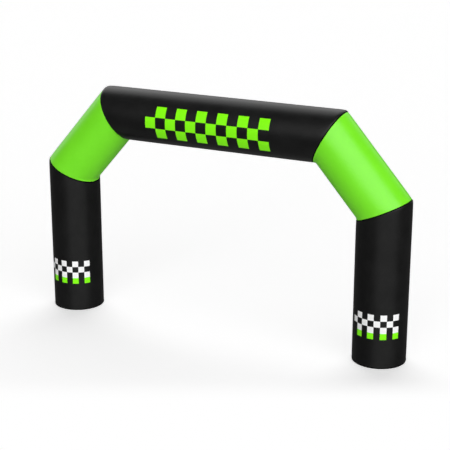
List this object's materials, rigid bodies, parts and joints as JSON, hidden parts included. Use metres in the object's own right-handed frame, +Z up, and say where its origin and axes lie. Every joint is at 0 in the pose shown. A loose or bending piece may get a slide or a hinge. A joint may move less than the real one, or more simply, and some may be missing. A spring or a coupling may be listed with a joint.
{
  "type": "inflatable arch",
  "caption": "Air-filled cloth arch of five round tubes: two upright legs, two sloping shoulders and a level beam over a clear passage.",
  "frame": {"origin": "on the ground, midway between the two legs", "axes": "+X along the beam towards the right leg as seen from the front, +Y away from the viewer through the arch, +Z up"},
  "size_m": [6.05, 0.8, 3.695],
  "materials": {
    "black_cloth": "black coated nylon cloth, satin",
    "lime_cloth": "lime green coated nylon cloth, satin",
    "base_cloth": "heavy black coated cloth, dull"
  },
  "bodies": {
    "root": {"leg_left": "black_cloth", "shoulder_left": "lime_cloth", "beam": "black_cloth", "shoulder_right": "lime_cloth", "leg_right": "black_cloth", "base_panel_left": "base_cloth", "base_panel_right": "base_cloth"}
  },
  "joints": []
}
